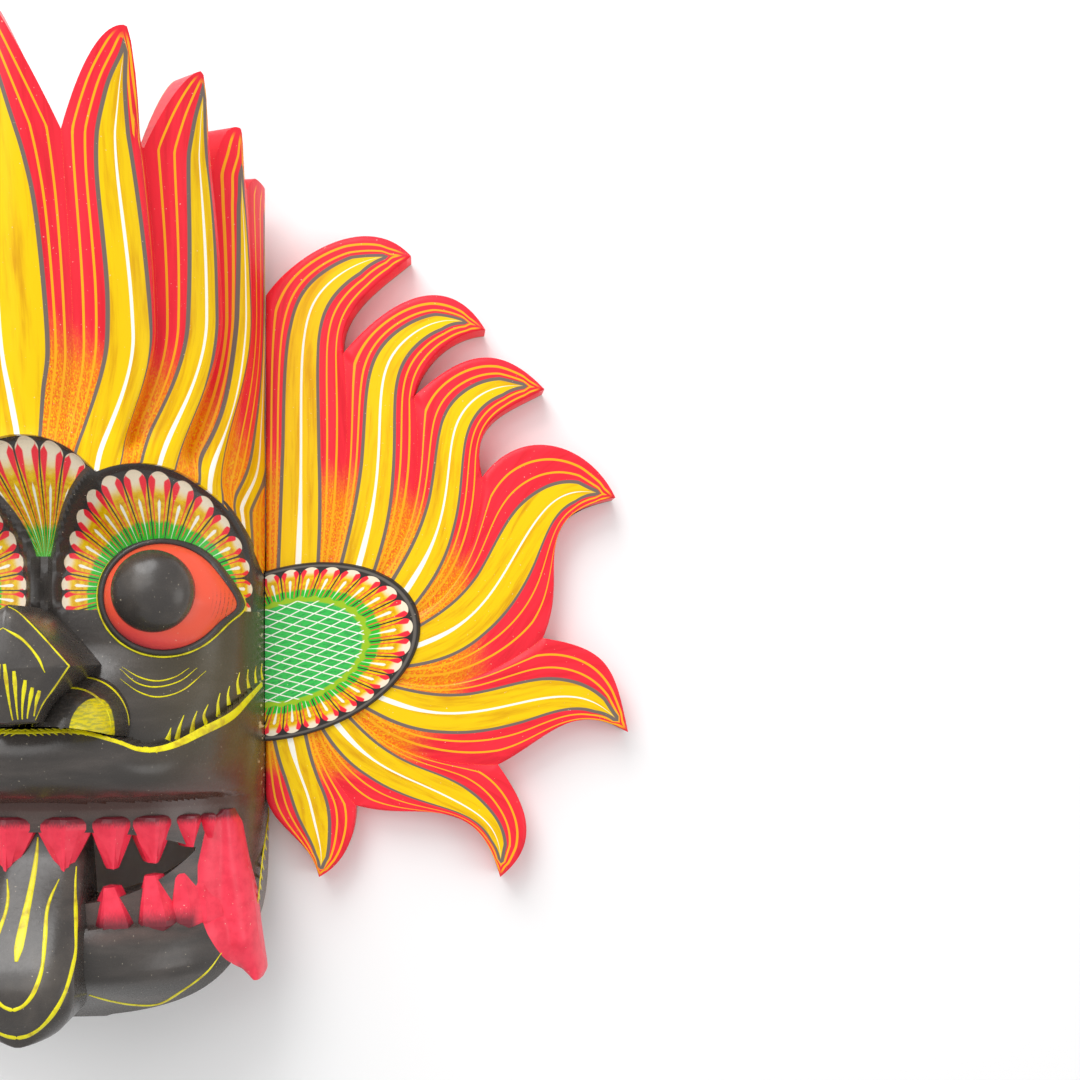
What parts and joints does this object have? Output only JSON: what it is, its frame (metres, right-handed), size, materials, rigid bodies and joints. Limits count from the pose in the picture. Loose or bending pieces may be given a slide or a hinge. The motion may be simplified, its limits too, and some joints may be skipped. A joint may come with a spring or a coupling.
{
  "type": "carved demon mask",
  "caption": "Carved and painted wooden demon mask with a flame crown, bulging eyes, a tongue hanging out of a toothed mouth, and flat flame-shaped ear boards at its sides.",
  "frame": {"origin": "centre of the mask's back on the surface it lies on, below the middle of its box", "axes": "+X to the viewer's right across both ears, +Y towards the tips of the crown, +Z out of the face; the mask lies on its back"},
  "size_m": [0.6192, 0.496, 0.1493],
  "materials": {
    "lacquered_wood": "carved softwood under glossy black enamel, with enamel painted flames, petals and lines",
    "painted_board": "sawn softwood board under glossy yellow, red, green and white enamel"
  },
  "bodies": {
    "root": {"mask_block": "lacquered_wood", "ear_panel_right": "painted_board", "ear_panel_left": "painted_board"}
  },
  "joints": []
}
